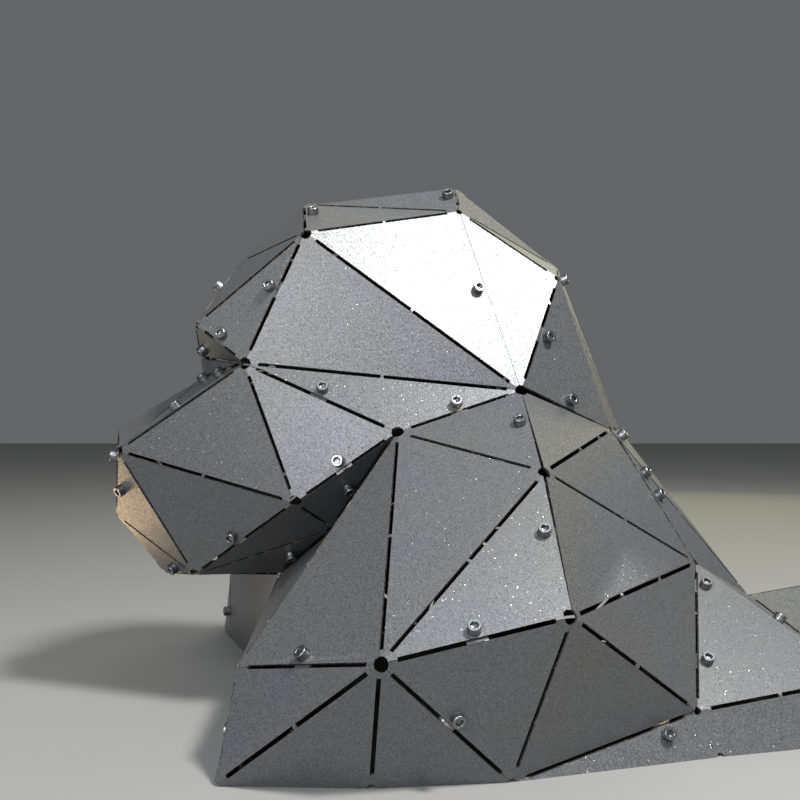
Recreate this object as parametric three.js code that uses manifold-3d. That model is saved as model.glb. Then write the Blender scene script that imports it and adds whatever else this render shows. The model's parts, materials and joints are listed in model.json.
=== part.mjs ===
// A life-size gorilla bust folded and screwed together from laser-cut sheet steel.
//
// The skin is a mesh of flat triangles between named corners. Each panel is one sheet of
// steel: its triangles are folded along slotted bend lines and it meets the next panel in
// an open seam. Under every seam screw the lower panel reaches in with a small flange.
// Millimetres, +Z up. The face looks along -X and the animal's left side lies at -Y.
// The origin is at the middle of the footprint, on the ground.

import * as THREE from 'three';
import { ConvexGeometry } from 'three/addons/geometries/ConvexGeometry.js';
import { mergeVertices } from 'three/addons/utils/BufferGeometryUtils.js';
import Module from 'manifold-3d';

const wasm = await Module();
wasm.setup();

// ---------------------------------------------------------------- driving sizes

const SHEET = 2;            // thickness of the steel sheet
const SEAM_GAP = 0.4;       // gap between two panels at the ends of a seam, where they almost touch
const BEND_OVERLAP = 0.02;  // the two sides of a bend run into each other by this
const SLOT_WIDTH = 3.2;     // width of the slots cut along a bend, and of an open seam
const SLOT_LAND = 12;       // solid metal left between a corner and its slot
const BRIDGE = 2.5;         // solid metal left between two slots of one bend
const SLOT_RUN = 120;       // no slot of a bend is longer than about this
const SHORTEST_SLOT = 8;    // there is no slot where less than this is left for it
const FLATTEST_FOLD = 3.5;  // degrees: a flatter fold that runs to the ground has no slots
const RELIEF_BIG = 5.3;     // radius of the round relief hole at a main corner
const RELIEF_SMALL = 3.5;   // radius of the relief hole at any other corner
const RELIEF_BIG_SIDES = 10;
const RELIEF_SMALL_SIDES = 6;
const RELIEF_DEPTH = 24;    // length of the cutter of a relief hole
const MERGE_BELOW = 0.05;   // flat neighbours closer to one plane than this become one face

const HEAD_RADIUS = 5;      // M6 socket-head screw
const HEAD_HEIGHT = 6;
const SHANK_RADIUS = 3;
const SHANK_BEYOND = 3;     // the shank shows this much behind the flange
const SCREW_SIDES = 6;
const CLEARANCE = 0.3;      // air kept between pieces that touch
const HOLE_SIDES = 6;
const HOLE_RADIUS = (SHANK_RADIUS + CLEARANCE) / Math.cos(Math.PI / HOLE_SIDES);
const HOLE_DEPTH = 10;      // length of the cutter of a screw's hole
const SCREW_INSET = 8;      // from the seam line to the screw's axis
const HEAD_AIR = 1.5;       // air between a head and the panel beyond a folded-in seam
const DEEP_STEP = 6;        // in a seam folded in past a right angle the flange starts this far back
const FLANGE_WIDTH = 15;    // flange under each screw, along the seam
const FLANGE_BEYOND = 7;    // and across it, past the screw's axis
const WEB_ROOT = 6;         // the flange's web starts this far inside its own panel's edge
const WEB_SKIN = 0.4;       // and stays this far under both faces of its sheet
const FOOT_REACH = 16;      // width of the foot folded in along the ground
const FOOT_ROOT = 1.2;      // it starts this far inside the skin
const FOOT_END = 12;        // and stops this far short of each corner
const FOOT_SLANT = 0.5;     // its ends run back by this for each millimetre inwards

// ---------------------------------------------------------------- corners

// Corners on the middle plane: [x, z].
const MIDDLE = {
  hairline: [-165, 448],
  crest: [-25, 464],
  skullBack: [70, 389],
  scruff: [127, 240],
  forehead: [-224, 395],
  browFront: [-266, 337],
  noseRoot: [-261, 307],
  noseBridge: [-258, 288],
  noseTip: [-337, 242],
  lip: [-339, 161],
  chinTip: [-294, 107],
  gullet: [-187, 107],
  backDip: [246, 87],
  backRear: [337, 103],
  footChest: [-172, 0],
  footRear: [339, 0],
};

// Corners that come in pairs: [x, distance from the middle plane, z, stride].
// The animal is in mid-stride: its right side lies further forward by the stride.
const PAIRED = {
  temple: [-157, 88, 410, 0],
  eye: [-207, 100, 298, 0],
  ear: [25, 108, 275, 0],
  jaw: [-78, 135, 241, 0],
  cheek: [-162, 125, 183, 0],
  skullSide: [64, 50, 375, 0],
  crown: [-23, 36, 436, 0],
  brow: [-253, 72, 332, 0],
  nostril: [-323, 62, 223, 0],
  chin: [-258, 46, 112, 0],
  throat: [-134, 68, 155, 0],
  neck: [34, 195, 213, 20],
  nape: [111, 46, 241, 0],
  withers: [181, 66, 126, 0],
  shoulder: [40, 295, 122, 50],
  upperArm: [-89, 320, 96, 75],
  armFront: [-195, 230, 73, 72],
  ribs: [149, 195, 32, 15],
  loin: [290, 150, 45, 0],
  footInner: [-165, 140, 0, 72],
  footFront: [-194, 225, 0, 72],
  footOuter: [-205, 270, 0, 75],
  footArm: [-96, 275, 0, 75],
  footShoulder: [2, 262, 0, 50],
  footRibs: [164, 205, 0, 15],
  footLoin: [324, 158, 0, 0],
};

const BIG_RELIEFS = ['temple', 'eye', 'ear', 'jaw', 'cheek', 'nostril', 'chin', 'neck', 'shoulder',
  'upperArm', 'throat'];

// ---------------------------------------------------------------- panels

// Triangles of the left half, counter-clockwise seen from outside.
// A side panel is made once for each side; a middle panel holds both halves.
const SIDE_PANELS = {
  temple: ['temple eye ear', 'eye jaw ear', 'temple ear crown', 'temple crown hairline',
    'hairline crown crest'],
  brow: ['temple brow eye', 'temple forehead brow', 'temple hairline forehead',
    'brow forehead browFront', 'brow browFront noseRoot'],
  jaw: ['eye cheek jaw', 'eye nostril cheek', 'nostril chin cheek', 'nostril lip chin',
    'lip chinTip chin'],
  under_jaw: ['jaw cheek throat', 'cheek chin throat'],
  shoulder: ['jaw neck ear', 'jaw upperArm neck', 'jaw armFront upperArm',
    'neck upperArm shoulder'],
  blade: ['ear neck nape', 'neck withers nape', 'neck shoulder withers',
    'shoulder ribs withers', 'shoulder footShoulder ribs', 'upperArm footShoulder shoulder'],
  arm: ['armFront footFront footOuter', 'armFront footOuter upperArm',
    'upperArm footOuter footArm', 'upperArm footArm footShoulder'],
  flank: ['withers ribs loin', 'ribs footShoulder footRibs', 'ribs footRibs footLoin',
    'ribs footLoin loin'],
};

const MIDDLE_PANELS = {
  crown: ['crown ear skullSide', 'crown skullSide skullBack', 'crown skullBack crest'],
  nape: ['skullSide ear nape', 'skullSide nape scruff', 'skullSide scruff skullBack'],
  ridge: ['nape withers backDip', 'nape backDip scruff'],
  eye_bridge: ['eye brow noseRoot', 'eye noseRoot noseBridge'],
  muzzle_top: ['eye noseBridge nostril', 'noseBridge noseTip nostril', 'nostril noseTip lip'],
  throat: ['chin gullet throat', 'chin chinTip gullet'],
  chest: ['jaw throat armFront', 'throat gullet armFront', 'gullet footInner armFront',
    'gullet footChest footInner', 'armFront footInner footFront'],
  back: ['withers loin backDip', 'backDip loin backRear'],
  rear: ['loin footLoin footRear', 'loin footRear backRear'],
};

// ---------------------------------------------------------------- seam screws

// [panel the head sits on, seam corner, seam corner, places along the seam from 0 to 1]
const SEAM_SCREWS = [
  ['temple', 'temple', 'hairline', [0.62]],
  ['temple', 'crown', 'crest', [0.62]],
  ['temple', 'eye', 'jaw', [0.49]],
  ['temple', 'jaw', 'ear', [0.5]],
  ['temple', 'crown', 'ear', [0.45]],
  ['brow', 'temple', 'eye', [0.44]],
  ['brow', 'brow', 'eye', [0.46]],
  ['eye_bridge', 'brow', 'noseRoot', [0.56]],
  ['muzzle_top', 'eye', 'noseBridge', [0.4, 0.8]],
  ['muzzle_top', 'eye', 'nostril', [0.54]],
  ['muzzle_top', 'nostril', 'lip', [0.18]],
  ['jaw', 'nostril', 'lip', [0.51]],
  ['jaw', 'jaw', 'cheek', [0.52]],
  ['jaw', 'cheek', 'chin', [0.54]],
  ['jaw', 'chinTip', 'chin', [0.5]],
  ['under_jaw', 'jaw', 'throat', [0.55]],
  ['throat', 'throat', 'gullet', [0.55]],
  ['nape', 'skullSide', 'ear', [0.5]],
  ['nape', 'ear', 'nape', [0.51]],
  ['nape', 'skullSide', 'skullBack', [0.5]],
  ['shoulder', 'ear', 'neck', [0.41]],
  ['shoulder', 'neck', 'shoulder', [0.45]],
  ['shoulder', 'shoulder', 'upperArm', [0.5]],
  ['shoulder', 'armFront', 'upperArm', [0.47]],
  ['arm', 'armFront', 'footFront', [0.6]],
  ['ridge', 'nape', 'scruff', [0.5]],
  ['ridge', 'nape', 'withers', [0.35, 0.52]],
  ['flank', 'withers', 'ribs', [0.16, 0.68]],
  ['back', 'withers', 'loin', [0.51]],
  ['blade', 'upperArm', 'footShoulder', [0.5]],
  ['flank', 'ribs', 'footShoulder', [0.2]],
  ['rear', 'loin', 'footLoin', [0.5]],
  ['rear', 'loin', 'backRear', [0.5]],
];

// Seams that are not opened between their ends, and a bend without slots.
const UNSLOTTED = ['crown ear', 'ear neck', 'ear nape', 'neck shoulder', 'nape withers', 'withers loin',
  'withers backDip', 'skullSide nape'];

// [panel, panel below, corner, distance]: here a panel was not pulled down all the way. It
// stands off the next one by the distance at that corner, and by nothing at the seam's end.
const OPENINGS = [
  ['ridge', 'blade', 'nape', 5],
  ['nape', 'blade', 'ear', 4.5],
  ['shoulder', 'blade', 'neck', 2],
];

// The two brow panels meet on the middle plane; one screw there, on the left panel.
const MIDDLE_SCREW = ['brow', 'forehead', 'browFront', [0.42]];

// The screws of the right side and those of the rear panel are not part of this group.
const SCREWS_LEFT_OUT = ['rear'];

// ---------------------------------------------------------------- skin

const LEFT = 'left';
const RIGHT = 'right';
const onSide = (name, side) => (name in MIDDLE ? name : `${name}_${side}`);

const corners = new Map();
for (const [name, [x, z]] of Object.entries(MIDDLE)) corners.set(name, new THREE.Vector3(x, 0, z));
for (const [name, [x, half, z, stride]] of Object.entries(PAIRED)) {
  corners.set(onSide(name, LEFT), new THREE.Vector3(x, -half, z));
  corners.set(onSide(name, RIGHT), new THREE.Vector3(x - stride, half, z));
}

// A facet keeps its corner names in order, its panel and its outward normal.
function makeFacet(row, side, panel) {
  const names = row.split(' ').map((name) => onSide(name, side));
  if (side === RIGHT) names.reverse();
  const [a, b, c] = names.map((name) => corners.get(name));
  const normal = b.clone().sub(a).cross(c.clone().sub(a)).normalize();
  return { names, panel, normal };
}

const facets = [];
for (const side of [LEFT, RIGHT]) {
  for (const [panel, rows] of Object.entries(SIDE_PANELS)) {
    for (const row of rows) facets.push(makeFacet(row, side, `${panel}_${side}`));
  }
  for (const [panel, rows] of Object.entries(MIDDLE_PANELS)) {
    for (const row of rows) facets.push(makeFacet(row, side, panel));
  }
}

const edgeKey = (a, b) => [a, b].sort().join(' ');
const edges = new Map();
for (const facet of facets) {
  facet.names.forEach((a, i) => {
    const b = facet.names[(i + 1) % 3];
    const key = edgeKey(a, b);
    if (!edges.has(key)) edges.set(key, { a, b, sides: [] });
    edges.get(key).sides.push(facet);
  });
}
const sidesOf = (a, b) => edges.get(edgeKey(a, b)).sides;
const facetAcross = (facet, a, b) => sidesOf(a, b).find((other) => other !== facet);
const facetOf = (panel, a, b) => sidesOf(a, b).find((facet) => facet.panel === panel);

// ---------------------------------------------------------------- solids

// Closed triangle geometry to a manifold solid and back.
function toSolid(geometry) {
  geometry.deleteAttribute('normal');
  geometry.deleteAttribute('uv');
  const merged = mergeVertices(geometry, 1e-4);
  return new wasm.Manifold(new wasm.Mesh({
    numProp: 3,
    vertProperties: new Float32Array(merged.attributes.position.array),
    triVerts: new Uint32Array(merged.index.array),
  }));
}

function toGeometry(solid) {
  const mesh = solid.getMesh();
  const geometry = new THREE.BufferGeometry();
  geometry.setAttribute('position', new THREE.BufferAttribute(mesh.vertProperties, 3));
  geometry.setIndex(new THREE.BufferAttribute(mesh.triVerts, 1));
  geometry.computeVertexNormals();
  return geometry;
}

const hull = (points) => toSolid(new ConvexGeometry(points));
const largestPiece = (solid) => solid.decompose().sort((a, b) => b.volume() - a.volume())[0];
const joined = (solids) => solids.reduce((all, solid) => all.add(solid));
const along = (origin, ...steps) => steps.reduce(
  (point, [direction, length]) => point.addScaledVector(direction, length),
  origin.clone(),
);

// The point where three planes meet.
function meetingPoint(planes) {
  const [p, q, r] = planes.map((plane) => plane.normal);
  const [kp, kq, kr] = planes.map((plane) => -plane.constant);
  const volume = p.dot(q.clone().cross(r));
  return q.clone().cross(r).multiplyScalar(kp)
    .addScaledVector(r.clone().cross(p), kq)
    .addScaledVector(p.clone().cross(q), kr)
    .divideScalar(volume);
}

const withoutSide = (name) => name.replace(/_(left|right)$/, '');

// How much wider than usual a panel stands off the next one at a corner.
function opening(facet, other, corner) {
  const place = [facet.panel, other.panel, corner].map(withoutSide).join(' ');
  const row = OPENINGS.find(([panel, below, at]) => `${panel} ${below} ${at}` === place);
  return row ? row[3] : 0;
}

// The plane that ends a facet at one of its edges: it halves the angle to the next facet, or
// is the ground along the foot. A seam is set back by half its gap.
function endPlane(facet, a, b) {
  const other = facetAcross(facet, a, b);
  const start = corners.get(a);
  if (!other) return new THREE.Plane().setFromNormalAndCoplanarPoint(new THREE.Vector3(0, 0, -1), start);
  const edge = corners.get(b).clone().sub(start).normalize();
  const setBack = other.panel === facet.panel ? -BEND_OVERLAP : SEAM_GAP / 2;
  const middle = facet.normal.clone().add(other.normal).normalize();
  const outward = edge.cross(middle).normalize();
  const [first, last] = [a, b].map((name) => along(
    corners.get(name),
    [outward, -setBack - opening(facet, other, name)],
  ));
  const facing = last.sub(first).cross(middle).normalize();
  return new THREE.Plane().setFromNormalAndCoplanarPoint(facing, first);
}

// One flat plate of sheet steel between the outer face and the inner face of a facet.
function plate(facet) {
  const ends = facet.names.map((name, i) => endPlane(facet, name, facet.names[(i + 1) % 3]));
  const points = [];
  for (const depth of [0, SHEET]) {
    const anchor = along(corners.get(facet.names[0]), [facet.normal, -depth]);
    const face = new THREE.Plane().setFromNormalAndCoplanarPoint(facet.normal, anchor);
    ends.forEach((end, i) => points.push(meetingPoint([face, end, ends[(i + 2) % 3]])));
  }
  return hull(points);
}

// ---------------------------------------------------------------- cuts

function placed(geometry, origin, xAxis, yAxis, zAxis) {
  const matrix = new THREE.Matrix4().makeBasis(xAxis, yAxis, zAxis).setPosition(origin);
  return geometry.applyMatrix4(matrix);
}

// A round cutter through the sheet, standing along a direction.
function drill(centre, direction, radius, sides, depth) {
  const side = new THREE.Vector3(1, 0, 0).cross(direction).normalize();
  const geometry = new THREE.CylinderGeometry(radius, radius, depth, sides);
  return toSolid(placed(geometry, centre, side, direction, side.clone().cross(direction)));
}

// The slots along one edge. A bend keeps a bridge of solid metal between each two; a seam is
// one slot from end to end.
function edgeSlots(facet, other, a, b) {
  const [from, to] = [a, b].map(withoutSide);
  if (UNSLOTTED.includes(`${from} ${to}`) || UNSLOTTED.includes(`${to} ${from}`)) return [];
  const isBend = facet.panel === other.panel;
  const fold = THREE.MathUtils.radToDeg(facet.normal.angleTo(other.normal));
  if (isBend && fold < FLATTEST_FOLD && `${a} ${b}`.includes('foot')) return [];
  const middleNormal = facet.normal.clone().add(other.normal).normalize();
  const start = corners.get(a);
  const length = start.distanceTo(corners.get(b));
  const direction = corners.get(b).clone().sub(start).normalize();
  const room = length - 2 * SLOT_LAND;
  const count = isBend ? Math.max(1, Math.ceil(room / SLOT_RUN)) : 1;
  const run = (room - (count - 1) * BRIDGE) / count;
  if (run < SHORTEST_SLOT) return [];
  const across = middleNormal.clone().cross(direction);
  return Array.from({ length: count }, (_, i) => {
    const centre = along(start, [direction, SLOT_LAND + run / 2 + i * (run + BRIDGE)]);
    const box = new THREE.BoxGeometry(run, SLOT_WIDTH, 6 * SHEET);
    return toSolid(placed(box, centre, direction, across, middleNormal));
  });
}

// ---------------------------------------------------------------- flanges and screws

// Where one screw sits: its foot on the outer face, its axis, and the directions along
// the seam and from the seam into the panel under the head.
function screwPlace(panel, a, b, t) {
  const facet = facetOf(panel, a, b);
  const start = corners.get(a);
  const direction = corners.get(b).clone().sub(start).normalize();
  const seam = start.clone().lerp(corners.get(b), t);
  const third = corners.get(facet.names.find((name) => name !== a && name !== b));
  const into = facet.normal.clone().cross(direction);
  if (into.dot(third.clone().sub(seam)) < 0) into.negate();
  const under = facetAcross(facet, a, b);
  const wedge = Math.PI - facet.normal.angleTo(under.normal);
  const deep = wedge < Math.PI / 2;
  const room = HEAD_RADIUS + HEAD_AIR + (CLEARANCE + HEAD_HEIGHT) / Math.tan(wedge);
  const standOff = THREE.MathUtils.lerp(opening(facet, under, a), opening(facet, under, b), t);
  const inset = (deep ? Math.max(room, SCREW_INSET) : SCREW_INSET) + standOff;
  const foot = along(seam, [into, inset]);
  return { facet, under, deep, inset, seam, direction, into, foot, axis: facet.normal };
}

// The flange of the lower panel: a web from its edge and a tab behind the upper panel.
function flange(place) {
  const { seam, direction, into, axis, under, deep, inset } = place;
  const away = under.normal.clone().cross(direction);
  const underCentre = under.names.reduce((sum, name) => sum.add(corners.get(name)), new THREE.Vector3());
  if (away.dot(underCentre.divideScalar(3).sub(seam)) < 0) away.negate();
  const tabTop = SHEET + CLEARANCE;
  const tabStart = deep ? -DEEP_STEP : 0;
  const tab = [];
  const web = [];
  for (const side of [-FLANGE_WIDTH / 2, FLANGE_WIDTH / 2]) {
    for (const depth of [tabTop, tabTop + SHEET]) {
      const start = along(seam, [direction, side], [into, tabStart], [axis, -depth]);
      tab.push(start, along(start, [into, inset + FLANGE_BEYOND - tabStart]));
      web.push(start);
    }
    for (const depth of [WEB_SKIN, SHEET - WEB_SKIN]) {
      web.push(along(seam, [direction, side], [away, WEB_ROOT], [under.normal, -depth]));
    }
  }
  return hull(tab).add(hull(web));
}

// A screw turned on its own axis, its head resting on the sheet at height 0.
function screwGeometry() {
  const headTop = CLEARANCE + HEAD_HEIGHT;
  const tip = -(2 * SHEET + CLEARANCE + SHANK_BEYOND);
  const profile = [[0, tip], [SHANK_RADIUS, tip], [SHANK_RADIUS, CLEARANCE],
    [HEAD_RADIUS, CLEARANCE], [HEAD_RADIUS, headTop], [0, headTop]];
  return new THREE.LatheGeometry(profile.map(([r, y]) => new THREE.Vector2(r, y)), SCREW_SIDES);
}

// ---------------------------------------------------------------- feet

// The strip folded in along the ground, so that the edge does not cut into the floor.
function foot(a, b) {
  const start = corners.get(a);
  const end = corners.get(b);
  const direction = end.clone().sub(start).normalize();
  const inward = new THREE.Vector3(0, 0, 1).cross(direction);
  const up = new THREE.Vector3(0, 0, 1);
  const points = [];
  for (const height of [0, SHEET]) {
    for (const reach of [FOOT_ROOT, FOOT_REACH]) {
      const short = FOOT_END + reach * FOOT_SLANT;
      points.push(along(start, [direction, short], [inward, reach], [up, height]));
      points.push(along(end, [direction, -short], [inward, reach], [up, height]));
    }
  }
  return hull(points);
}

// ---------------------------------------------------------------- assembly

const screwPlaces = [];
function addScrews([panel, a, b, places], side) {
  const full = panel in SIDE_PANELS ? `${panel}_${side}` : panel;
  for (const t of places) {
    screwPlaces.push({ ...screwPlace(full, onSide(a, side), onSide(b, side), t), panel, side });
  }
}
for (const side of [LEFT, RIGHT]) {
  for (const row of SEAM_SCREWS) addScrews(row, side);
}
addScrews(MIDDLE_SCREW, LEFT);

// The mean of the normals around a corner is the axis of its relief hole.
const reliefs = [...corners].map(([name, centre]) => {
  const around = facets.filter((facet) => facet.names.includes(name));
  const direction = around.reduce((sum, facet) => sum.add(facet.normal), new THREE.Vector3());
  const big = BIG_RELIEFS.includes(name.split('_')[0]);
  const radius = big ? RELIEF_BIG : RELIEF_SMALL;
  const sides = big ? RELIEF_BIG_SIDES : RELIEF_SMALL_SIDES;
  const cutter = drill(centre, direction.normalize(), radius, sides, RELIEF_DEPTH);
  return { name, cutter };
});

function panelSolid(panel) {
  const own = facets.filter((facet) => facet.panel === panel);
  let solid = joined(own.map(plate));
  for (const { a, b, sides } of edges.values()) {
    if (sides.every((facet) => facet.panel !== panel)) continue;
    if (sides.length === 1) solid = solid.add(foot(a, b));
    else solid = edgeSlots(...sides, a, b).reduce((rest, slot) => rest.subtract(slot), solid);
  }
  for (const { name, cutter } of reliefs) {
    if (own.some((facet) => facet.names.includes(name))) solid = solid.subtract(cutter);
  }
  for (const place of screwPlaces) {
    if (place.under.panel === panel) solid = solid.add(flange(place));
  }
  for (const place of screwPlaces) {
    const touches = [place.under.panel, place.facet.panel].includes(panel);
    if (touches) solid = solid.subtract(drill(place.foot, place.axis, HOLE_RADIUS, HOLE_SIDES, HOLE_DEPTH));
  }
  solid = solid.subtract(toSolid(new THREE.BoxGeometry(2000, 2000, 50).translate(0, 0, -25)));
  return largestPiece(solid.asOriginal().simplify(MERGE_BELOW));
}

const powderCoat = () => new THREE.MeshStandardMaterial({ color: 0x4a4c50, roughness: 0.5, metalness: 0.6 });
const zincSteel = () => new THREE.MeshStandardMaterial({ color: 0x8c8f94, roughness: 0.3, metalness: 1 });

const bust = new THREE.Group();
for (const panel of new Set(facets.map((facet) => facet.panel))) {
  const mesh = new THREE.Mesh(toGeometry(panelSolid(panel)), powderCoat());
  mesh.name = `${panel}_panel`;
  bust.add(mesh);
}

const screwCount = new Map();
for (const place of screwPlaces) {
  if (place.side !== LEFT || SCREWS_LEFT_OUT.includes(place.panel)) continue;
  const number = (screwCount.get(place.panel) ?? 0) + 1;
  screwCount.set(place.panel, number);
  const mesh = new THREE.Mesh(screwGeometry(), zincSteel());
  mesh.name = `screw_left_${place.panel}_${number}`;
  mesh.quaternion.setFromUnitVectors(new THREE.Vector3(0, 1, 0), place.axis);
  mesh.position.copy(place.foot);
  bust.add(mesh);
}

export default bust;
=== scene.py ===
# %% [markdown]
# # A gorilla bust of folded sheet steel
#
# The object is a life-size low-poly gorilla: head, shoulders and the front of the back. It is
# made of laser-cut steel sheet, 2 mm thick. Every panel is folded along slotted bend lines
# into a few flat facets, and the panels are screwed together over small flanges, with a thin
# open seam between them. The sheet has a graphite powder coat with metallic flecks, and here
# and there the laser-cut edges are bare and bright.
#
# The construction is already made: it is loaded here as a fixed frame. This script gives it
# its looks: the finishes first, then the sheets with their folds and edges, then the screws,
# and at last the floor and the light.

import json
import math

import bmesh
import bpy
import numpy as np
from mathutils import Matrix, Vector

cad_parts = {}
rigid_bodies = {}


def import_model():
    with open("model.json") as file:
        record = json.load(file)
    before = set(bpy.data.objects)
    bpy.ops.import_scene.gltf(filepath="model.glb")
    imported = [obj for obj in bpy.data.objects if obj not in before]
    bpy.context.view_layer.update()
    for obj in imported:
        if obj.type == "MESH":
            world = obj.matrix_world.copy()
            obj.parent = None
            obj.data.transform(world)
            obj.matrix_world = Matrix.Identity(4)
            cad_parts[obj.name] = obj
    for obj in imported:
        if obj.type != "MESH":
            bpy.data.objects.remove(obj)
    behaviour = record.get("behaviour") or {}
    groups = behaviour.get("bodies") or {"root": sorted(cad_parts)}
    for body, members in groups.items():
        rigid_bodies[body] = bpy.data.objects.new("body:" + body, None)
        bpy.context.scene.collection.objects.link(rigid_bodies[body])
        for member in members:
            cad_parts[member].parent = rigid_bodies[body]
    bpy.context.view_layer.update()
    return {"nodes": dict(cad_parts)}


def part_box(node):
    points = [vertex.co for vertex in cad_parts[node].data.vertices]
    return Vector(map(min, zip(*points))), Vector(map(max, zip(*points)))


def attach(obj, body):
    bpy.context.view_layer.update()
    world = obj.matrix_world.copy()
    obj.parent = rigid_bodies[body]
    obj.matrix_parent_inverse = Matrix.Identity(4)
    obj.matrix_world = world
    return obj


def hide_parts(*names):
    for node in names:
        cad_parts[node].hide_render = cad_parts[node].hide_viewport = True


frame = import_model()
MM = 0.001

# %% [markdown]
# ## The camera
#
# The statue is seen square on from its left side, at the height of its head and from about a
# metre away, so that the muzzle, the cheek and the shoulder have their strong perspective. A
# long lens further back would be the easier choice, but it would flatten the head. The focal
# length is worked out from how wide the view is at the distance of the middle plane.

# %% Place the camera
SENSOR = 36.0               # millimetres
VIEW_WIDTH = 0.741          # metres seen across the picture, at the middle plane
CAMERA_DISTANCE = 1.065
CAMERA_SIDEWAYS = -0.076
CAMERA_HEIGHT = 0.2671

camera_data = bpy.data.cameras.new("side_view")
camera_data.sensor_width = SENSOR
camera_data.lens = SENSOR * CAMERA_DISTANCE / VIEW_WIDTH
camera = bpy.data.objects.new("side_view", camera_data)
camera.location = (CAMERA_SIDEWAYS, -CAMERA_DISTANCE, CAMERA_HEIGHT)
camera.rotation_euler = (math.radians(90), 0, 0)
bpy.context.scene.collection.objects.link(camera)
bpy.context.scene.camera = camera
print(f"camera: lens {camera_data.lens:.2f} mm")

# %% [markdown]
# ## Small helpers for materials
#
# All finishes are node trees that read Object coordinates, so a grain is the same size on
# every piece and doesn't slide. Effects that several finishes share are node groups, built
# once. These helpers add a node with its values in one line, open a new group with named
# inputs and outputs, and do the usual sums on numbers and vectors.

# %% Helpers for node trees
def add_node(tree, kind, values=None, **settings):
    """A new node of one kind, with its settings and with values or links for its inputs."""
    node = tree.nodes.new(kind)
    for name, value in settings.items():
        setattr(node, name, value)
    for name, value in (values or {}).items():
        if isinstance(value, bpy.types.NodeSocket):
            tree.links.new(value, node.inputs[name])
        else:
            node.inputs[name].default_value = value
    return node


def new_group(name, inputs, outputs):
    """A shader node group: inputs are {name: start value}, outputs are {name: socket kind}."""
    tree = bpy.data.node_groups.new(name, "ShaderNodeTree")
    for label, value in inputs.items():
        socket = tree.interface.new_socket(label, in_out="INPUT", socket_type="NodeSocketFloat")
        socket.default_value = value
    for label, kind in outputs.items():
        tree.interface.new_socket(label, in_out="OUTPUT", socket_type=kind)
    return tree, tree.nodes.new("NodeGroupInput"), tree.nodes.new("NodeGroupOutput")


def number_step(tree, operation, first, second):
    """One arithmetic step on two numbers or links."""
    return add_node(tree, "ShaderNodeMath", {0: first, 1: second}, operation=operation).outputs[0]


def vector_step(tree, operation, values):
    """One arithmetic step on vectors, with the values of the node's inputs."""
    return add_node(tree, "ShaderNodeVectorMath", values, operation=operation).outputs[0]


def noise(tree, scale, detail):
    """A cloudy noise between 0 and 1 in Object coordinates, with so many bumps per metre."""
    place = add_node(tree, "ShaderNodeTexCoord").outputs["Object"]
    values = {"Vector": place, "Scale": scale, "Detail": detail}
    return add_node(tree, "ShaderNodeTexNoise", values).outputs["Fac"]


FLOAT, VECTOR = "NodeSocketFloat", "NodeSocketVector"
print("a group puts out", FLOAT, "or", VECTOR)

# %% [markdown]
# ## Metallic flecks
#
# A metallic powder coat holds tiny flakes that lie almost flat, each tilted a little in a
# direction of its own. Seen from any side, a few of them flash and the rest stay dark. A
# noise in the colour alone would look like print, because it wouldn't change with the light.
# So every cell of a Voronoi pattern gets one random direction, and the surface normal leans
# that way: the light then picks out other flakes as the view moves. The group also puts out a
# mask of a few flakes picked at random, which are brighter and smoother and lie less flat, so
# that even a facet in the shade has a few sparks.

# %% Node group: flecks
def build_flecks():
    """Puts out a leaning normal, a mask of the flashing flakes and a shade for every flake.

    With c the random colour of a flake's cell, the normal is the surface's normal plus
    (c - 0.5) times the tilt, made one long again. The mask is 1 where a second random number is
    above 1 - share, and there the tilt is larger by the flash tilt. The shade is c's green.
    """
    tree, given, result = new_group(
        "metal_flecks",
        {"Cells per metre": 1000.0, "Tilt": 0.2, "Share": 0.0, "Flash tilt": 0.0},
        {"Normal": VECTOR, "Flash": FLOAT, "Shade": FLOAT},
    )
    place = add_node(tree, "ShaderNodeTexCoord").outputs["Object"]
    cells = add_node(tree, "ShaderNodeTexVoronoi", {"Vector": place}, feature="F1")
    tree.links.new(given.outputs["Cells per metre"], cells.inputs["Scale"])
    random = cells.outputs["Color"]
    picked = add_node(tree, "ShaderNodeTexWhiteNoise", {"Vector": random}).outputs["Value"]
    rest = number_step(tree, "SUBTRACT", 1.0, given.outputs["Share"])
    flash = number_step(tree, "GREATER_THAN", picked, rest)
    tree.links.new(flash, result.inputs["Flash"])
    more = number_step(tree, "MULTIPLY", flash, given.outputs["Flash tilt"])
    tilt = number_step(tree, "ADD", more, given.outputs["Tilt"])
    lean = vector_step(tree, "SUBTRACT", {0: random, 1: (0.5, 0.5, 0.5)})
    lean = vector_step(tree, "SCALE", {0: lean, "Scale": tilt})
    facing = add_node(tree, "ShaderNodeNewGeometry").outputs["Normal"]
    leaning = vector_step(tree, "ADD", {0: facing, 1: lean})
    unit = vector_step(tree, "NORMALIZE", {0: leaning})
    tree.links.new(unit, result.inputs["Normal"])
    parts = add_node(tree, "ShaderNodeSeparateColor", {"Color": random})
    tree.links.new(parts.outputs["Green"], result.inputs["Shade"])
    return tree


flecks_group = build_flecks()
print("group:", flecks_group.name)

# %% [markdown]
# ## Fine texture of the coat
#
# Powder melts into a skin that is never quite flat: it has a fine orange peel, and a broad
# unevenness in the sheet itself bends the reflections slowly from one end of a facet to the
# other. Both are heights, and they go through one Bump node. Where a finish has flecks, that
# node starts from their normal, so the effects add up. A third noise, the cloud, isn't a
# height: it makes tone and gloss drift from place to place.

# %% Node group: skin height
GRAIN_SCALE, SWAY_SCALE, CLOUD_SCALE = 1400.0, 9.0, 9.0     # bumps per metre


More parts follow.
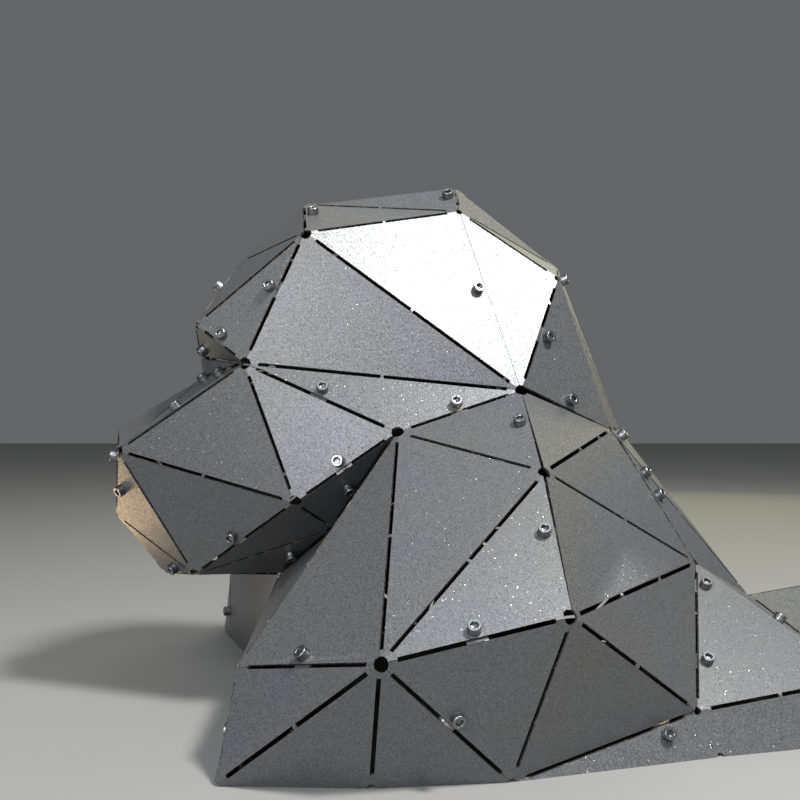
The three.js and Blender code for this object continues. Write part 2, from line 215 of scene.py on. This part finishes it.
def build_skin():
    """Puts out a height, grain noise times Grain plus sway noise times Sway, and the cloud."""
    tree, given, result = new_group(
        "skin_height",
        {"Grain": 0.02 * MM, "Sway": 0.06 * MM},
        {"Height": FLOAT, "Cloud": FLOAT},
    )
    grain = noise(tree, GRAIN_SCALE, detail=2.0)
    sway = noise(tree, SWAY_SCALE, detail=1.0)
    cloud = noise(tree, CLOUD_SCALE, detail=2.0)
    fine = number_step(tree, "MULTIPLY", grain, given.outputs["Grain"])
    broad = number_step(tree, "MULTIPLY", sway, given.outputs["Sway"])
    height = number_step(tree, "ADD", fine, broad)
    tree.links.new(height, result.inputs["Height"])
    tree.links.new(cloud, result.inputs["Cloud"])
    return tree


skin_group = build_skin()
print("group:", skin_group.name)

# %% [markdown]
# ## Helpers for finishes
#
# Every finish is a Principled shader. What is the same all over a surface is a plain value on
# the shader's own socket, and only what varies is linked. Most of what varies is a noise sent
# through a ramp, of colours or of numbers, and a height sent through a Bump node.

# %% Helpers for finishes
def base_material(name, metallic, roughness):
    """A new material with its Principled shader, and plain values where nothing varies."""
    material = bpy.data.materials.new(name)
    material.use_nodes = True
    tree = material.node_tree
    shader = tree.nodes["Principled BSDF"]
    shader.inputs["Metallic"].default_value = metallic
    shader.inputs["Roughness"].default_value = roughness
    return material, tree, shader


def colour_ramp(tree, factor, low, high, start=0.0, end=1.0):
    """A colour that goes from low to high as the factor goes from start to end."""
    node = add_node(tree, "ShaderNodeValToRGB", {"Fac": factor})
    first, last = node.color_ramp.elements
    first.position, first.color = start, (*low, 1)
    last.position, last.color = end, (*high, 1)
    return node.outputs["Color"]


MIX_INPUTS, MIX_RESULT = (0, 6, 7), 2   # the Mix node's sockets for two colours


def mixed(tree, factor, first, second, blend="MIX"):
    """Two colours mixed by a factor."""
    node = add_node(tree, "ShaderNodeMix", data_type="RGBA", blend_type=blend)
    for index, value in zip(MIX_INPUTS, (factor, first, second)):
        if isinstance(value, bpy.types.NodeSocket):
            tree.links.new(value, node.inputs[index])
        else:
            node.inputs[index].default_value = (*value, 1) if isinstance(value, tuple) else value
    return node.outputs[MIX_RESULT]


def number_ramp(tree, factor, low, high, start=0.0, end=1.0):
    """A number that goes from low to high as the factor goes from start to end."""
    values = {"Value": factor, "From Min": start, "From Max": end, "To Min": low, "To Max": high}
    return add_node(tree, "ShaderNodeMapRange", values).outputs[0]


def add_bump(tree, shader, height, start=None):
    """Joins a height in metres to the shader's normal, on top of the normal to start from."""
    bump = add_node(tree, "ShaderNodeBump", {"Height": height, "Distance": 1.0, "Strength": 1.0})
    if start:
        tree.links.new(start, bump.inputs["Normal"])
    tree.links.new(bump.outputs["Normal"], shader.inputs["Normal"])


CLOUD_LOW, CLOUD_HIGH = 0.35, 0.65      # nearly all of the cloud lies between these
print("cloud from", CLOUD_LOW, "to", CLOUD_HIGH)

# %% [markdown]
# ## The powder coat
#
# The coat is a graphite grey between slate blue and brown. Its tone drifts a little over a
# hand's width, and each flake has a shade of its own. The binder between the flakes is a dull
# plastic, so the coat as a whole spreads light like paint with a broad gloss. Making all of it
# metal would leave the facets outside the mirror direction too black; only the few flakes that
# flash are pure metal.

# %% Material: graphite powder coat
COAT_COOL = (0.110, 0.115, 0.126)
COAT_WARM = (0.116, 0.116, 0.115)
FLAKE_DARK = (0.60, 0.60, 0.60)         # a flake's shade multiplies the tone of the coat
FLAKE_PALE = (1.44, 1.44, 1.44)
FLASH_TONE = (0.14, 0.14, 0.145)
COAT_METAL, FLASH_METAL = 0.35, 1.0
COAT_SMOOTH, COAT_ROUGH, FLASH_ROUGH = 0.35, 0.43, 0.32
COAT_FLECKS = {"Cells per metre": 1600.0, "Tilt": 0.15, "Share": 0.022, "Flash tilt": 0.5}

coat, tree, shader = base_material("graphite_powder_coat", COAT_METAL, (COAT_SMOOTH + COAT_ROUGH) / 2)
flecks = add_node(tree, "ShaderNodeGroup", COAT_FLECKS, node_tree=flecks_group)
skin = add_node(tree, "ShaderNodeGroup", node_tree=skin_group)
tone = colour_ramp(tree, skin.outputs["Cloud"], COAT_COOL, COAT_WARM, CLOUD_LOW, CLOUD_HIGH)
flakes = colour_ramp(tree, flecks.outputs["Shade"], FLAKE_DARK, FLAKE_PALE)
tone = mixed(tree, 1.0, tone, flakes, "MULTIPLY")
tone = mixed(tree, flecks.outputs["Flash"], tone, FLASH_TONE)
tree.links.new(tone, shader.inputs["Base Color"])
rough = number_ramp(tree, skin.outputs["Cloud"], COAT_SMOOTH, COAT_ROUGH)
rough = number_ramp(tree, flecks.outputs["Flash"], rough, FLASH_ROUGH)
tree.links.new(rough, shader.inputs["Roughness"])
metal = number_ramp(tree, flecks.outputs["Flash"], COAT_METAL, FLASH_METAL)
tree.links.new(metal, shader.inputs["Metallic"])
add_bump(tree, shader, skin.outputs["Height"], flecks.outputs["Normal"])
print("material:", coat.name)

# %% [markdown]
# ## Cut edges
#
# The coat is thin on the sharp edges that the laser left. Most of an edge is a darker grey than the
# faces, and this darker grey is painted shade, standing in for the shade on the walls of slots and seams.
# In places the coat has rubbed through to bright steel, warm where the cut ran hot. A painted line along
# each seam would be too even, so the bare places come from a noise over a centimetre or so, cut off
# sharply.

# %% Material: cut edge in painted shade, partly bare
# the coated edge: darker than the faces as painted shade for the walls of slots and seams
EDGE_COAT_AND_SHADE = (0.050, 0.051, 0.053)
EDGE_COOL = (0.62, 0.61, 0.60)
EDGE_WARM = (0.66, 0.54, 0.43)
EDGE_SPOTS = 80.0                       # bumps of the noise per metre
BARE_FROM, BARE_TO = 0.52, 0.57         # where the noise goes from coated to bare
EDGE_METAL = COAT_METAL, 1.0            # coated and bare
EDGE_ROUGH = 0.50, 0.30
EDGE_SKIN = {"Grain": 0.05 * MM, "Sway": 0.0}

cut_edge, tree, shader = base_material("cut_edge", EDGE_METAL[0], EDGE_ROUGH[0])
skin = add_node(tree, "ShaderNodeGroup", EDGE_SKIN, node_tree=skin_group)
spots = noise(tree, EDGE_SPOTS, detail=2.0)
bare = number_ramp(tree, spots, 0.0, 1.0, BARE_FROM, BARE_TO)
steel = colour_ramp(tree, skin.outputs["Cloud"], EDGE_COOL, EDGE_WARM, start=0.4, end=0.6)
# coated edges get the painted shade tone, bare places the bright steel
tree.links.new(mixed(tree, bare, EDGE_COAT_AND_SHADE, steel), shader.inputs["Base Color"])
tree.links.new(number_ramp(tree, bare, *EDGE_ROUGH), shader.inputs["Roughness"])
tree.links.new(number_ramp(tree, bare, *EDGE_METAL), shader.inputs["Metallic"])
add_bump(tree, shader, skin.outputs["Height"])
print("material:", cut_edge.name)

# %% [markdown]
# ## The inside, painted in shade
#
# The inner side of the sheet is painted near black as shade, with a dull finish. This painted shade is
# what keeps the slots dark: through them one sees this side, and the stripes of light that fall in
# through the slots opposite would show on anything paler.

# %% Material: black painted shade for the inside
# near black: painted shade for the inner side of the sheets
INSIDE_SHADE_DARK = (0.008, 0.008, 0.008)
INSIDE_SHADE_PALE = (0.012, 0.012, 0.011)
INSIDE_SHADE_ROUGH = 0.7

inside_shade_black, tree, shader = base_material("black_painted_shade", 0.0, INSIDE_SHADE_ROUGH)
skin = add_node(tree, "ShaderNodeGroup", node_tree=skin_group)
tone = colour_ramp(tree, skin.outputs["Cloud"], INSIDE_SHADE_DARK, INSIDE_SHADE_PALE, CLOUD_LOW, CLOUD_HIGH)
tree.links.new(tone, shader.inputs["Base Color"])
print("material:", inside_shade_black.name)

# %% [markdown]
# ## Zinc plate
#
# The screws are plain zinc-plated steel. Zinc is paler than the coat and a little cloudy, with
# a faint blue in it. The tumbling in the plating drum leaves tiny dents, so a fine grain
# breaks up the reflections on the head.

# %% Material: zinc plate
ZINC_DULL = (0.17, 0.175, 0.19)
ZINC_BRIGHT = (0.30, 0.305, 0.32)
ZINC_SMOOTH, ZINC_ROUGH = 0.28, 0.40
ZINC_FLECKS = {"Cells per metre": 2200.0, "Tilt": 0.12}
ZINC_SKIN = {"Grain": 0.04 * MM, "Sway": 0.0}

zinc, tree, shader = base_material("zinc_plate", 1.0, (ZINC_SMOOTH + ZINC_ROUGH) / 2)
skin = add_node(tree, "ShaderNodeGroup", ZINC_SKIN, node_tree=skin_group)
flecks = add_node(tree, "ShaderNodeGroup", ZINC_FLECKS, node_tree=flecks_group)
tone = colour_ramp(tree, flecks.outputs["Shade"], ZINC_DULL, ZINC_BRIGHT, start=0.2, end=0.8)
tree.links.new(tone, shader.inputs["Base Color"])
rough = number_ramp(tree, skin.outputs["Cloud"], ZINC_SMOOTH, ZINC_ROUGH)
tree.links.new(rough, shader.inputs["Roughness"])
add_bump(tree, shader, skin.outputs["Height"], flecks.outputs["Normal"])
print("material:", zinc.name)

# %% [markdown]
# ## Which faces are cut edges
#
# The cut edges of a sheet get another finish than its two sides, so the kinds of face have to
# be told apart. A cut edge is narrow: its mean width, which is twice the area over the
# perimeter, is the thickness of the sheet or less. When faces are merged, a few slivers stay
# between a hole and a corner. They are narrow too, but they lie level with a broad face, so
# the broad faces take in every neighbour in their own plane. The two sides are told apart by
# the body's inside: an inner face looks towards the nearest of a few points spread through it.

# %% Tell the faces of a sheet apart
LEVEL = math.radians(1)
BROAD = 3.2 * MM
BODY_INSIDE = [Vector(point) for point in (     # head, neck, trunk and shoulders, in metres
    (-0.26, 0, 0.17), (-0.20, 0, 0.28), (-0.10, 0, 0.30), (0.03, 0, 0.20), (-0.05, 0, 0.07),
    (0.16, 0, 0.04), (0.27, 0, 0.03), (-0.10, -0.20, 0.03), (-0.16, 0.20, 0.03),
    (0.06, -0.18, 0.03), (0.02, 0.18, 0.03))]
FACE, CUT, INSIDE = 0, 1, 2                     # material slots of a sheet


def is_broad(face):
    """True for a face that is wider than any cut edge."""
    around = sum(edge.calc_length() for edge in face.edges)
    return 2 * face.calc_area() / around > BROAD


def sheet_sides(work):
    """The two sides of the sheet: all broad faces, and what lies level with them."""
    found = {face for face in work.faces if is_broad(face)}
    fresh = list(found)
    while fresh:
        for edge in fresh.pop().edges:
            beyond = [face for face in edge.link_faces if face not in found]
            if beyond and edge.calc_face_angle() < LEVEL:
                found.update(beyond)
                fresh.extend(beyond)
    return found


def faces_inward(face):
    """True if the nearest point of the body's inside lies in front of the face."""
    ways = [point - face.calc_center_median() for point in BODY_INSIDE]
    return face.normal.dot(min(ways, key=lambda way: way.length)) > 0


def material_of(face, broad_sides):
    """The material slot of one face: a cut edge, or the inner or outer side of the sheet."""
    if face not in broad_sides:
        return CUT
    return INSIDE if faces_inward(face) else FACE


print("points inside the body:", len(BODY_INSIDE))

# %% [markdown]
# ## The sheets, with folds that have a radius
#
# The frame's panels have the right outline, slots, holes and flanges, but their folds are
# knife-sharp. A press brake always leaves a small radius, and that radius is what catches the
# light beside each corner hole. So a copy of every panel is merged into whole flat faces, the
# edges between two faces of its sides are bevelled, and the copy stands in for the panel.

# %% Make the sheets
WELD = 0.002 * MM                               # corners closer than this are one
FLAT_WITHIN = math.radians(0.4)                 # faces this flat to each other are merged
FOLD_RADIUS = 1.2 * MM
FOLD_STEPS = 3
SOFTEST_FOLD, SHARPEST_FOLD = math.radians(4), math.radians(100)


def is_fold(edge, broad_sides):
    """True where two faces of the sheet's broad sides meet at a clear angle."""
    if not all(face in broad_sides for face in edge.link_faces):
        return False
    return SOFTEST_FOLD < edge.calc_face_angle() < SHARPEST_FOLD


def make_sheet(node):
    """A sheet made from one panel: merged, folded with a radius, its cut edges marked."""
    work = bmesh.new()
    work.from_mesh(node.data)
    bmesh.ops.remove_doubles(work, verts=work.verts, dist=WELD)
    bmesh.ops.dissolve_limit(work, angle_limit=FLAT_WITHIN, verts=work.verts, edges=work.edges)
    broad_sides = sheet_sides(work)
    for face in work.faces:
        face.material_index = material_of(face, broad_sides)
    folds = [edge for edge in work.edges if is_fold(edge, broad_sides)]
    bmesh.ops.bevel(work, geom=folds, offset=FOLD_RADIUS, offset_type="OFFSET", segments=FOLD_STEPS,
                    profile=0.5, affect="EDGES", clamp_overlap=True, material=-1)
    mesh = bpy.data.meshes.new(node.name.replace("_panel", "_sheet"))
    work.to_mesh(mesh)
    work.free()
    # the third finish, for the inner side, is the near-black painted shade
    for finish in (coat, cut_edge, inside_shade_black):
        mesh.materials.append(finish)
    sheet = bpy.data.objects.new(mesh.name, mesh)
    bpy.context.scene.collection.objects.link(sheet)
    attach(sheet, "root")
    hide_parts(node.name)
    return sheet


panels = sorted(name for name in frame["nodes"] if name.endswith("_panel"))
sheets = {name: make_sheet(frame["nodes"][name]) for name in panels}
print("sheets:", len(sheets), "with", sum(len(sheet.data.polygons) for sheet in sheets.values()), "faces")

# %% [markdown]
# ## Where the screws go
#
# Every screw stands in a six-sided clearance hole, which is cut through the upper sheet and
# again through the flange below it. The holes are in the sheets already, so the screws are
# placed by measuring them and no list of places is needed. A wall of such a hole is a small
# rectangle, as wide as a side of the hexagon and as high as the sheet is thick. Its normal
# points at the axis, so each wall tells where the middle of its hole is.

# %% Find the walls of the screw holes
SHEET_THICKNESS = 2.0 * MM
HOLE_FLAT = 3.3 * MM                               # from the axis to a wall
HOLE_WALL = 2 * HOLE_FLAT * math.tan(math.pi / 6)  # width of a wall
LAP_GAP = 0.3 * MM                                 # between the sheet and the flange
FLANGE_HALF, FLANGE_BEYOND = 7.5 * MM, 7.0 * MM    # from the axis to the flange's sides and end
SAME = 0.05 * MM                                   # lengths this close are the same
ONE_HOLE = 0.2 * MM                                # middles closer than this are one hole
FEWEST_WALLS = 3
FLANGE_CORNERS = 4                                 # two corners, each on both faces


def four_sided_faces(mesh):
    """The corners of all four-sided faces as one array, and all points as another."""
    count = len(mesh.polygons)
    total = np.zeros(count, int)
    start = np.zeros(count, int)
    mesh.polygons.foreach_get("loop_total", total)
    mesh.polygons.foreach_get("loop_start", start)
    corner = np.zeros(len(mesh.loops), int)
    mesh.loops.foreach_get("vertex_index", corner)
    points = np.zeros(len(mesh.vertices) * 3)
    mesh.vertices.foreach_get("co", points)
    points = points.reshape(-1, 3)
    return points[corner[start[total == 4][:, None] + np.arange(4)]], points


def hole_walls(quads):
    """The middle and the axis that each wall of a hole tells, as two arrays.

    A face is a wall if one side is HOLE_WALL long and the next as long as the sheet is thick.
    The middle is the face's centre plus its normal times HOLE_FLAT, and the axis runs along
    the second side.
    """
    sides = np.roll(quads, -1, axis=1) - quads
    lengths = np.linalg.norm(sides, axis=2)
    middles, axes = [], []
    for wide, high in ((0, 1), (1, 0)):
        fits = np.abs(lengths[:, wide] - HOLE_WALL) < SAME
        fits &= np.abs(lengths[:, high] - SHEET_THICKNESS) < SAME
        normal = np.cross(sides[fits, 0], sides[fits, 1])
        normal /= np.linalg.norm(normal, axis=1, keepdims=True)
        middles.append(quads[fits].mean(axis=1) + normal * HOLE_FLAT)
        axes.append(sides[fits, high] / lengths[fits, high, None])
    return np.concatenate(middles), np.concatenate(axes)


print(f"a wall is {HOLE_WALL / MM:.2f} mm wide")

# %% [markdown]
# ## The screw holes
#
# Walls that point at the same middle are one hole. Whether it is a hole in a flange shows in
# the two corners of the flange's free end, which stand at a known distance from its axis.

# %% Find the screw holes
def is_in_flange(points, middle, axis):
    """True if a hole has a flange's corners about it, hypot(FLANGE_HALF, FLANGE_BEYOND) off."""
    height = (points - middle) @ axis
    reach = np.linalg.norm(points - middle - height[:, None] * axis, axis=1)
    corners = np.abs(reach - math.hypot(FLANGE_HALF, FLANGE_BEYOND)) < SAME
    corners &= np.abs(height) < SHEET_THICKNESS / 2 + SAME
    return corners.sum() >= FLANGE_CORNERS


def holes_in(sheet):
    """(middle, axis, whether it is in a flange) for each six-sided hole in one sheet."""
    quads, points = four_sided_faces(sheet.data)
    middles, axes = hole_walls(quads)
    if not len(middles):
        return []
    near = np.linalg.norm(middles[:, None] - middles[None], axis=2) < ONE_HOLE
    first = near.argmax(axis=1)
    found = []
    for one in np.unique(first):
        walls = np.flatnonzero(first == one)
        if len(walls) >= FEWEST_WALLS:
            middle, axis = middles[walls].mean(axis=0), axes[walls[0]]
            found.append((middle, axis, is_in_flange(points, middle, axis)))
    return found


holes = [(name, *hole) for name in panels for hole in holes_in(sheets[name])]
print("holes:", len(holes), "of them in flanges:", sum(in_flange for *_, in_flange in holes))

# %% [markdown]
# ## Which holes belong together
#
# A screw is two holes, one above the other, a sheet's thickness and a small gap apart. The
# lower of the two is always the one in a flange, so the head belongs on the other.

# %% Pair the holes
def pair_holes(found):
    """(foot on the upper panel's outer face, outward axis) for each screw."""
    tops = [middle for _, middle, _, in_flange in found if not in_flange]
    flanges = [middle for _, middle, _, in_flange in found if in_flange]
    apart = np.linalg.norm(np.array(tops)[:, None] - np.array(flanges)[None], axis=2)
    pairs = np.argwhere(np.abs(apart - SHEET_THICKNESS - LAP_GAP) < SAME)
    screws = []
    for top, flange in pairs:
        axis = (tops[top] - flanges[flange]) / apart[top, flange]
        screws.append((tops[top] + axis * SHEET_THICKNESS / 2, axis))
    return sorted(screws, key=lambda screw: tuple(screw[0]))


screw_places = pair_holes(holes)
print("screws:", len(screw_places))

# %% [markdown]
# ## A socket-head screw
#
# The heads are 10 mm across, with a socket for a 5 mm key, and the shanks are 6 mm thick. The
# whole screw follows one profile, from the tip of the shank over the head and down into the
# socket, so it is one closed surface and nothing has to be joined. Heights count from the
# outer face of the upper sheet, and the head starts a hair above it. Most rows are round, and
# a few are knurled or hexagonal.

# %% The profile of a screw
HEAD_RADIUS, HEAD_HEIGHT = 5.0 * MM, 6.0 * MM
FOOT_CHAMFER = 0.25 * MM
SHOULDER = ((0.0, 0.6), (0.15, 0.25), (0.5, 0.0))       # mm in from the side, mm below the top
KNURL_DEPTH = 0.22 * MM
KNURL_ABOVE_FOOT, KNURL_BELOW_TOP = 0.6 * MM, 1.0 * MM
SHANK_RADIUS, SHANK_LENGTH = 3.0 * MM, 7.3 * MM
TIP_CHAMFER = 0.6 * MM
THREAD_TURNS, THREAD_PITCH, THREAD_DEPTH = 6, 1.0 * MM, 0.35 * MM
THREAD_STOP = 0.4 * MM                                  # below the sheet's outer face
SOCKET_FLAT, SOCKET_DEPTH = 2.5 * MM, 3.0 * MM
SOCKET_MOUTH, SOCKET_CHAMFER = 1.24 * SOCKET_FLAT, 0.4 * MM
DRILL_RADIUS, DRILL_POINT = 0.8 * SOCKET_FLAT, 0.9 * MM
ROUND, KNURLED, HEXAGON = 0, 1, 2


def screw_profile():
    """Rows of (radius, height, kind), from the tip of the shank to the bottom of the socket."""
    head_foot, head_top = LAP_GAP, LAP_GAP + HEAD_HEIGHT
    rows = [(0.0, -SHANK_LENGTH, ROUND), (SHANK_RADIUS - TIP_CHAMFER, -SHANK_LENGTH, ROUND)]
    for turn in range(THREAD_TURNS):
        height = -SHANK_LENGTH + TIP_CHAMFER + turn * THREAD_PITCH
        rows.append((SHANK_RADIUS, height, ROUND))
        rows.append((SHANK_RADIUS - THREAD_DEPTH, height + THREAD_PITCH / 2, ROUND))
    rows += [
        (SHANK_RADIUS, -THREAD_STOP, ROUND),
        (SHANK_RADIUS, head_foot, ROUND),
        (HEAD_RADIUS - FOOT_CHAMFER, head_foot, ROUND),
        (HEAD_RADIUS, head_foot + FOOT_CHAMFER, ROUND),
        (HEAD_RADIUS, head_foot + KNURL_ABOVE_FOOT, KNURLED),
        (HEAD_RADIUS, head_top - KNURL_BELOW_TOP, KNURLED),
    ]
    rows += [(HEAD_RADIUS - inward * MM, head_top - down * MM, ROUND) for inward, down in SHOULDER]
    rows += [
        (SOCKET_MOUTH, head_top, ROUND),
        (SOCKET_FLAT, head_top - SOCKET_CHAMFER, HEXAGON),
        (SOCKET_FLAT, head_top - SOCKET_DEPTH, HEXAGON),
        (DRILL_RADIUS, head_top - SOCKET_DEPTH, ROUND),
        (0.0, head_top - SOCKET_DEPTH - DRILL_POINT, ROUND),
    ]
    return rows


print("screw profile:", len(screw_profile()), "rows")

# %% [markdown]
# ## The screw as a surface
#
# A lathe would do for the turned rows, but it can't make a six-sided socket or a knurled head.
# So the screw is a surface over a grid: along one parameter it follows the profile, along the
# other it goes round. In the socket's rows the radius is that of a hexagon, and in the knurled
# rows every third point steps in.

# %% The surface of a screw
COLUMNS = 72


def screw_points(rows, foot, axis, roll):
    """The points of a screw as rows of COLUMNS points.

    With t the turn and r the row's radius, a round row has r, a knurled row r less KNURL_DEPTH
    at every third point, and a hexagon row r / cos(t'), where t' is t folded into the 60
    degrees about the nearest flat. The point is foot + cos(t + roll) r side + sin(t + roll) r
    other + height axis.
    """
    radius, height, kind = (np.array(column)[:, None] for column in zip(*rows))
    turn = np.arange(COLUMNS) * 2 * math.pi / COLUMNS
    folded = (turn + math.pi / 6) % (math.pi / 3) - math.pi / 6
    notch = KNURL_DEPTH * (np.arange(COLUMNS) % 3 == 0)
    reach = np.where(kind == HEXAGON, radius / np.cos(folded), radius - notch * (kind == KNURLED))
    axis = Vector(axis)
    side = axis.orthogonal().normalized()
    other = np.array(axis.cross(side))
    return (np.array(foot) + (reach * np.cos(turn + roll))[..., None] * np.array(side)
            + (reach * np.sin(turn + roll))[..., None] * other + height[..., None] * np.array(axis))


def screw_surface(foot, axis, roll):
    """Points and faces of one screw: a ring of quads between two rows, and a fan at each end.

    Both end rows have radius 0, so each is a single point. Row k of the others starts at point
    1 + k COLUMNS.
    """
    grid = screw_points(screw_profile(), foot, axis, roll)
    points = np.concatenate([grid[0, :1], grid[1:-1].reshape(-1, 3), grid[-1, :1]])
    around = np.arange(COLUMNS)
    onward = (around + 1) % COLUMNS
    starts = 1 + np.arange(len(grid) - 2)[:, None] * COLUMNS
    below, above = starts[:-1], starts[1:]
    walls = np.stack([below + around, below + onward, above + onward, above + around], axis=-1)
    tip = np.stack([np.zeros(COLUMNS, int), 1 + onward, 1 + around], axis=-1)
    last, top = np.full(COLUMNS, len(points) - 1), starts[-1]
    floor = np.stack([last, top + around, top + onward], axis=-1)
    return points, walls.reshape(-1, 4).tolist() + tip.tolist() + floor.tolist()


print("screw:", COLUMNS, "points in a row")

# %% [markdown]
# ## The screws in their places
#
# Each screw is tightened until it is tight, so no two sockets point the same way: every screw
# gets a turn of its own from a seeded draw. The screws that the frame has as plain solids are
# replaced one by one, each by the screw that stands where it stands.

# %% Put in the screws
SMOOTH_BELOW = math.radians(32)
NEAR_NODE = 2 * MM                      # from a screw's foot to the middle of its plain solid
draw = np.random.default_rng(7)

solids = [name for name in frame["nodes"] if name.startswith("screw_")]
solid_middles = np.array([np.mean(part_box(name), axis=0) for name in solids])


def make_screw(number, foot, axis):
    """One finished screw, which stands for the plain solid at its place if there is one."""
    points, faces = screw_surface(foot, axis, draw.uniform(0, math.pi / 3))
    mesh = bpy.data.meshes.new(f"seam_screw_{number:02d}")
    mesh.from_pydata(points.tolist(), [], faces)
    mesh.polygons.foreach_set("use_smooth", np.ones(len(mesh.polygons), bool))
    mesh.set_sharp_from_angle(angle=SMOOTH_BELOW)
    mesh.materials.append(zinc)
    screw = bpy.data.objects.new(mesh.name, mesh)
    bpy.context.scene.collection.objects.link(screw)
    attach(screw, "root")
    distance = np.linalg.norm(solid_middles - foot, axis=1)
    if distance.min() < NEAR_NODE:
        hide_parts(solids[distance.argmin()])
    return distance.min() < NEAR_NODE


replaced = sum(make_screw(number, *place) for number, place in enumerate(screw_places, start=1))
print("screws that replace a solid:", replaced, "of", len(solids))

# %% [markdown]
# ## The floor
#
# The bust stands on a plain pale floor. The patch of ground inside its footprint is painted near black,
# as painted shade. It is seen only through the holes, and a pale floor so close behind them would take
# away their depth. The patch is one flat face that stays a little inside the walls of the bust.

# %% Floor and ground painted in shade
FLOOR_HALF = 6.0
FLOOR_TONE = (0.27, 0.266, 0.258)
FLOOR_ROUGH = 0.7
FLOOR_OUTLINE = [(-FLOOR_HALF, -FLOOR_HALF), (FLOOR_HALF, -FLOOR_HALF),
                 (FLOOR_HALF, FLOOR_HALF), (-FLOOR_HALF, FLOOR_HALF)]
GROUND_ABOVE = 0.1 * MM
GROUND_OUTLINE = [(-0.15, -0.13), (-0.17, -0.25), (-0.09, -0.255), (0.0, -0.24), (0.15, -0.185),
                  (0.30, -0.14), (0.315, 0.0), (0.30, 0.14), (0.135, 0.185), (-0.05, 0.24),
                  (-0.165, 0.255), (-0.25, 0.25), (-0.215, 0.14), (-0.155, 0.0)]


def lay_flat(name, outline, height, finish):
    """One flat face with the outline's corners, all at one height, linked into the scene."""
    mesh = bpy.data.meshes.new(name)
    mesh.from_pydata([(x, y, height) for x, y in outline], [], [range(len(outline))])
    mesh.materials.append(finish)
    piece = bpy.data.objects.new(name, mesh)
    bpy.context.scene.collection.objects.link(piece)


floor_finish, tree, shader = base_material("pale_floor", 0.0, FLOOR_ROUGH)
shader.inputs["Base Color"].default_value = (*FLOOR_TONE, 1)
lay_flat("floor", FLOOR_OUTLINE, 0.0, floor_finish)
# the ground inside the footprint gets the near-black painted shade
lay_flat("ground_painted_shade", GROUND_OUTLINE, GROUND_ABOVE, inside_shade_black)
print("floor:", 2 * FLOOR_HALF, "m wide")

# %% [markdown]
# ## The light
#
# A glossy flat facet is bright where a light stands in the direction that it mirrors, and
# dull elsewhere. So the facets' tones come from where the lights stand. A strong small one
# above the near shoulder turns the facets that slope up and back almost white, and a broad one
# in front gives the side of the head its middle greys. The others are much weaker. Each stands
# in the mirror direction of a group of facets, cool above and warm on the far side. A small
# warm card low in front of the muzzle throws a golden light on it. An image of a sky could do
# all this at once, but lamps can be moved and dimmed one by one.

# %% Light
MIDDLE = Vector((0, 0, 0.25))
MUZZLE = Vector((-0.31, 0, 0.16))


def area_light(name, aim, direction, distance, size, watts, colour):
    """A square light at aim + distance times the direction made one long, turned to the aim."""
    lamp = bpy.data.lights.new(name, "AREA")
    lamp.size, lamp.energy, lamp.color = size, watts, colour
    light = bpy.data.objects.new(name, lamp)
    bpy.context.scene.collection.objects.link(light)
    toward = Vector(direction).normalized()
    light.visible_camera = False
    light.location = aim + toward * distance
    light.rotation_euler = (-toward).to_track_quat("-Z", "Y").to_euler()
    return light


LIGHT_DISTANCE = 2.4
LIGHTS = {      # direction from the middle of the bust, side in metres, watts, colour
    "key": ((0.39, -0.41, 0.82), 0.38, 88, (1.0, 0.995, 0.98)),
    "front": ((-0.30, -0.85, 0.43), 1.4, 40, (0.91, 0.955, 1.0)),
    "cheek": ((-0.47, -0.86, 0.22), 0.45, 9, (1.0, 0.97, 1.0)),
    "high": ((0.02, -0.30, 0.95), 0.9, 6, (0.80, 0.95, 1.0)),
    "top": ((-0.06, 0.20, 0.98), 1.4, 1.8, (0.95, 0.95, 1.0)),
    "far_top": ((0.05, 0.80, 0.60), 1.4, 3.3, (1.0, 0.99, 0.82)),
    "back_right": ((0.45, 0.70, 0.52), 1.4, 7.3, (1.0, 0.97, 0.62)),
    "far_low": ((0.33, 0.93, 0.14), 0.8, 1.7, (1.0, 0.92, 0.50)),
}
CARD_DIRECTION, CARD_DISTANCE = (-0.75, 0.55, -0.36), 0.3
CARD_SIZE, CARD_WATTS, CARD_COLOUR = 0.12, 0.05, (1.0, 0.70, 0.38)
CARD_SPREAD = math.radians(70)
ROOM_COLOUR, ROOM_STRENGTH = (0.80, 0.82, 0.86), 0.16

for name, (direction, size, watts, colour) in LIGHTS.items():
    area_light(name, MIDDLE, direction, LIGHT_DISTANCE, size, watts, colour)
card = area_light("warm_card", MUZZLE, CARD_DIRECTION, CARD_DISTANCE, CARD_SIZE, CARD_WATTS, CARD_COLOUR)
card.data.spread = CARD_SPREAD
room = bpy.data.worlds.new("pale_room")
room.use_nodes = True
background = room.node_tree.nodes["Background"]
background.inputs["Color"].default_value = (*ROOM_COLOUR, 1)
background.inputs["Strength"].default_value = ROOM_STRENGTH
bpy.context.scene.world = room
bpy.context.scene.view_settings.view_transform = "Standard"
print("lights:", len(LIGHTS) + 1)
